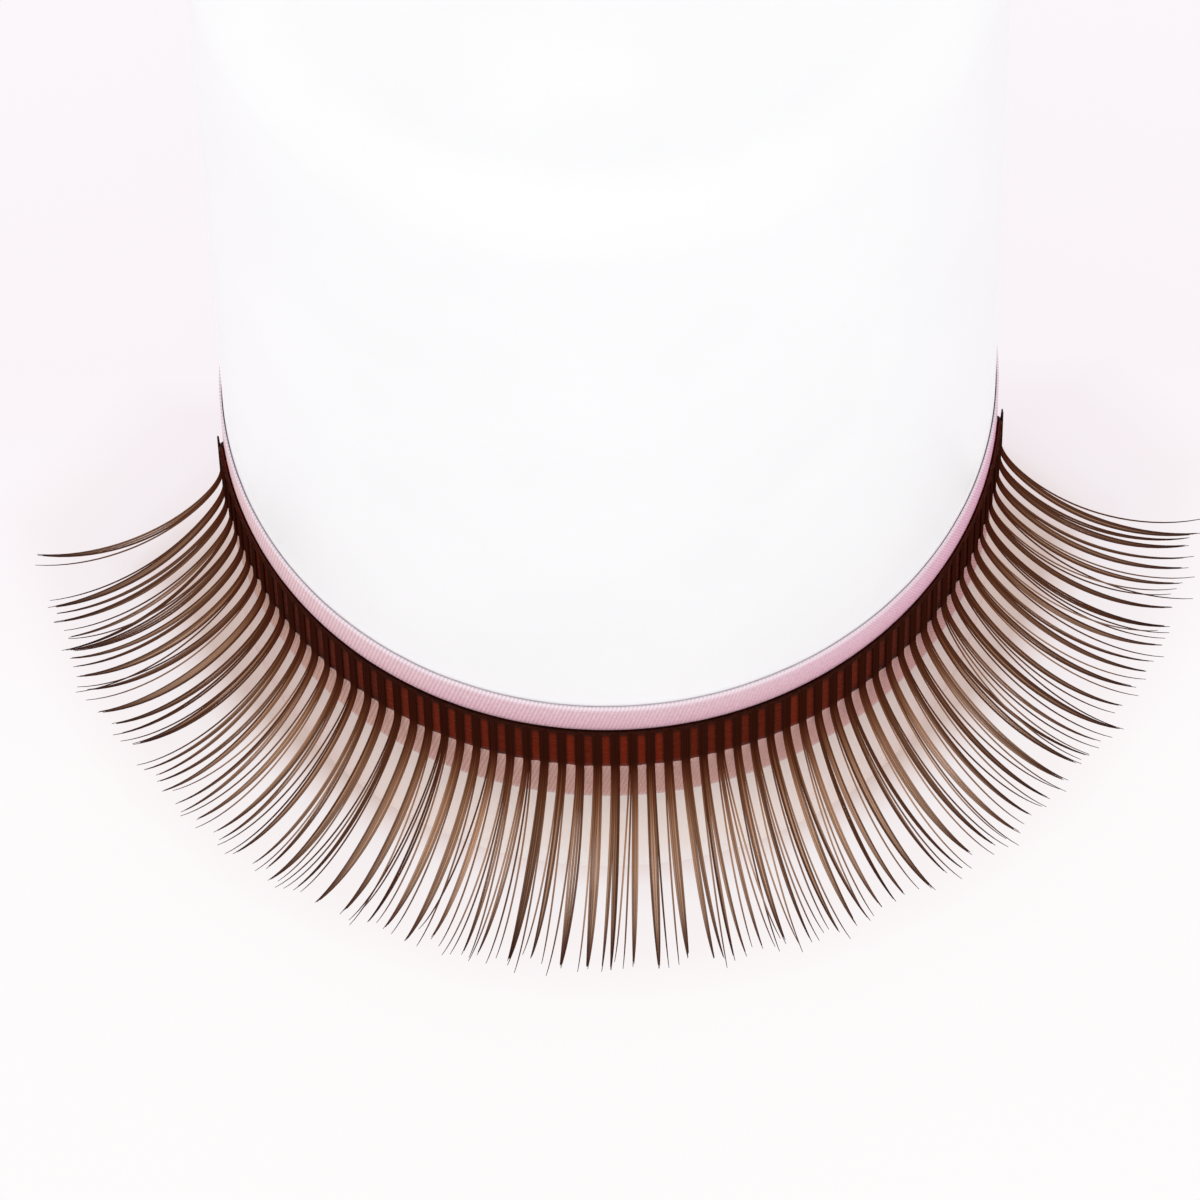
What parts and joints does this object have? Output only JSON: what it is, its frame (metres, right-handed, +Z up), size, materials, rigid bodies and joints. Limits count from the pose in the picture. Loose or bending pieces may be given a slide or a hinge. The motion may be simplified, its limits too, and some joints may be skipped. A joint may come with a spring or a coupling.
{
  "type": "premade lash fan strip on a round stand",
  "caption": "Curved strip of brown premade lash fans, rooted in a dark glue band on pink woven tape, wrapped round the front of a plain white round post.",
  "frame": {"origin": "centre of the stand's flat base", "axes": "+Z up along the stand's axis, -Y towards the middle of the lash fringe, +X to the right seen from the front"},
  "size_m": [0.0478, 0.0386, 0.0576],
  "materials": {
    "white_plastic": "satin white moulded plastic",
    "pink_tape": "fine ribbed woven tape with a satin sheen",
    "dark_glue": "glossy, slightly see-through red-brown glue",
    "brown_fibre": "satin brown synthetic fibre with darker tips"
  },
  "bodies": {
    "root": {"display_stand": "white_plastic", "backing_tape": "pink_tape", "glue_band": "dark_glue", "lash_fans": "brown_fibre"}
  },
  "joints": []
}
